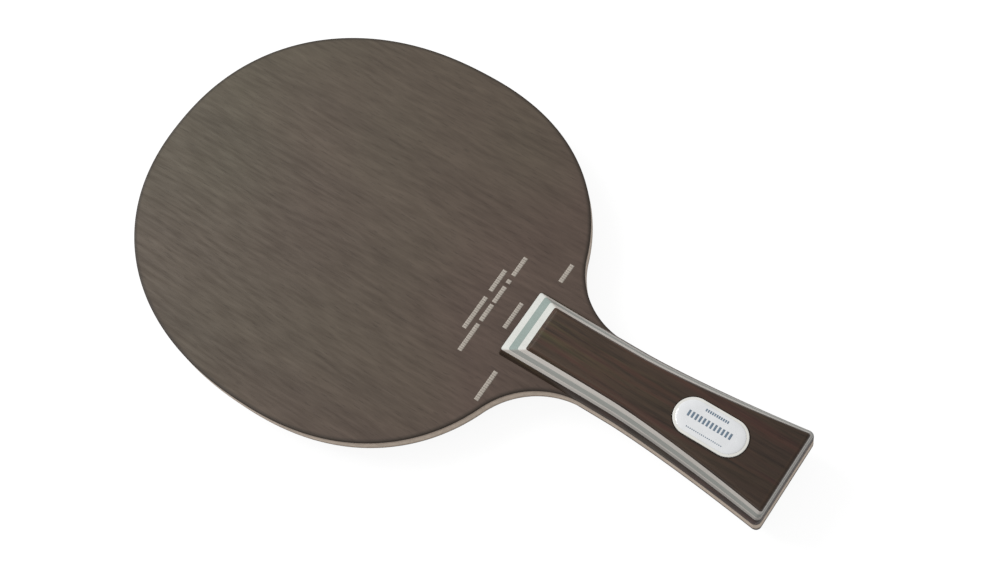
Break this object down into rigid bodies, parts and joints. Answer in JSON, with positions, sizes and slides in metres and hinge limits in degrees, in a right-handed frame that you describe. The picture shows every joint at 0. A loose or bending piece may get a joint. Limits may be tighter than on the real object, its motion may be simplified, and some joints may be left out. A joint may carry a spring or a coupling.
{
  "type": "table tennis blade",
  "caption": "Bare wooden table tennis blade: an oval plied head on a flared handle with striped laminated scales and an oval badge.",
  "frame": {"origin": "middle of the part's box in X and Y, on the flat back of the handle", "axes": "+X from the head to the butt, +Z out of the front face, +Y across the blade"},
  "size_m": [0.2622, 0.15, 0.0247],
  "materials": {
    "outer_veneer": "dark stained veneer, fine straight grain along the handle, thin satin sealer",
    "inner_veneer": "raw light veneer, seen only at the edge",
    "core_wood": "raw pale core wood, seen only at the edge",
    "scale_base_wood": "dark brown wood, sanded and sealed",
    "cap_wood": "dark brown wood with reddish and olive streaks, sanded and sealed",
    "white_veneer": "white dyed veneer",
    "teal_veneer": "grey teal dyed veneer",
    "badge_plate": "white lacquered plate with a flat border",
    "badge_resin": "clear domed resin over a pale print"
  },
  "bodies": {
    "root": {"front_outer_ply": "outer_veneer", "front_inner_ply": "inner_veneer", "core_ply": "core_wood", "back_inner_ply": "inner_veneer", "back_outer_ply": "outer_veneer", "front_scale_base": "scale_base_wood", "front_scale_lower_white_veneer": "white_veneer", "front_scale_teal_veneer": "teal_veneer", "front_scale_upper_white_veneer": "white_veneer", "front_scale_cap": "cap_wood", "back_scale_base": "scale_base_wood", "back_scale_lower_white_veneer": "white_veneer", "back_scale_teal_veneer": "teal_veneer", "back_scale_upper_white_veneer": "white_veneer", "back_scale_cap": "cap_wood", "badge_plate": "badge_plate", "badge_dome": "badge_resin"}
  },
  "joints": []
}
